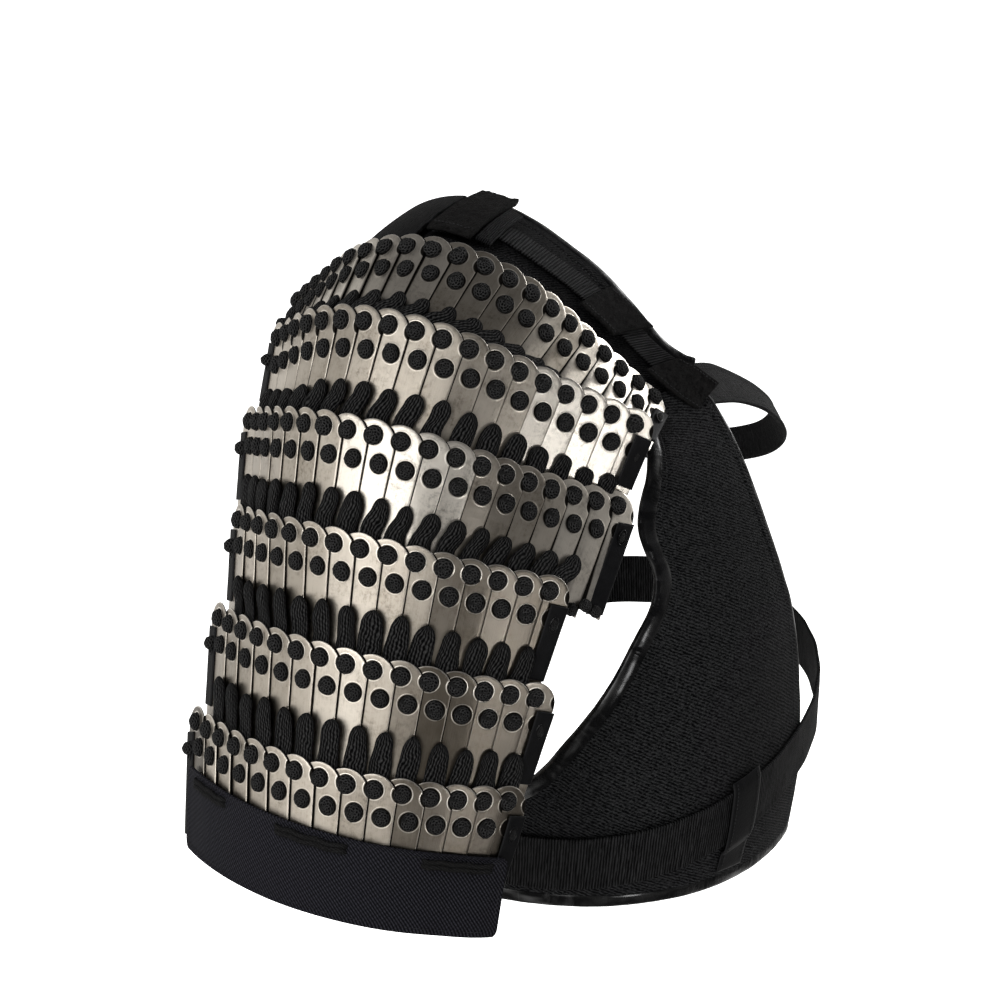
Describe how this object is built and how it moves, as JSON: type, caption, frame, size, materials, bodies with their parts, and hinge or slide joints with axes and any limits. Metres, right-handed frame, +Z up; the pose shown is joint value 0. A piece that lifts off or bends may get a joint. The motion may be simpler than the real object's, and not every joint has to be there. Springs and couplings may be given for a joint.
{
  "type": "lamellar shoulder armour on a one-sided harness",
  "caption": "Worn guard of overlapping laced steel plates for the right shoulder and upper arm, on a padded cloth half vest with an elastic chest band and a cross strap.",
  "frame": {"origin": "on top of the wearer's right shoulder, at the underside of the shoulder pad where the harness sits", "axes": "+Z up, the wearer faces -Y, +X towards the wearer's left side, so the plates are on the -X side"},
  "size_m": [0.5009, 0.3322, 0.454],
  "materials": {
    "steel": "satin polished sheet steel",
    "cord": "matt black braided cord",
    "leather": "matt black leather",
    "cloth": "coarse black woven cloth, padded on the shoulder",
    "edging": "glossy black bound edging",
    "webbing": "ribbed black webbing and elastic",
    "fastener_cloth": "black hook-and-loop fabric"
  },
  "bodies": {
    "root": {"band_keeper": "leather", "cross_strap": "webbing", "elastic_band": "webbing", "front_armhole_binding": "edging", "front_edge_piping": "edging", "front_edge_strip_1": "leather", "front_edge_strip_2": "leather", "front_edge_strip_3": "leather", "front_edge_strip_4": "leather", "front_edge_strip_5": "leather", "front_edge_strip_6": "leather", "front_hem_binding": "edging", "front_panel": "cloth", "front_patch": "fastener_cloth", "hem_backing": "leather", "hem_band": "leather", "keeper_patch": "fastener_cloth", "lacing_1_2": "cord", "lacing_2_3": "cord", "lacing_3_4": "cord", "lacing_4_5": "cord", "lacing_5_6": "cord", "lamella_row_1": "steel", "lamella_row_2": "steel", "lamella_row_3": "steel", "lamella_row_4": "steel", "lamella_row_5": "steel", "lamella_row_6": "steel", "neck_binding": "edging", "rear_armhole_binding": "edging", "rear_edge_piping": "edging", "rear_edge_strip_1": "leather", "rear_edge_strip_2": "leather", "rear_edge_strip_3": "leather", "rear_edge_strip_4": "leather", "rear_edge_strip_5": "leather", "rear_edge_strip_6": "leather", "rear_hem_binding": "edging", "rear_panel": "cloth", "rear_patch": "fastener_cloth", "rear_patch_flap": "fastener_cloth", "rear_strap_end": "fastener_cloth", "shoulder_pad": "cloth", "shoulder_webbing": "webbing"}
  },
  "joints": []
}
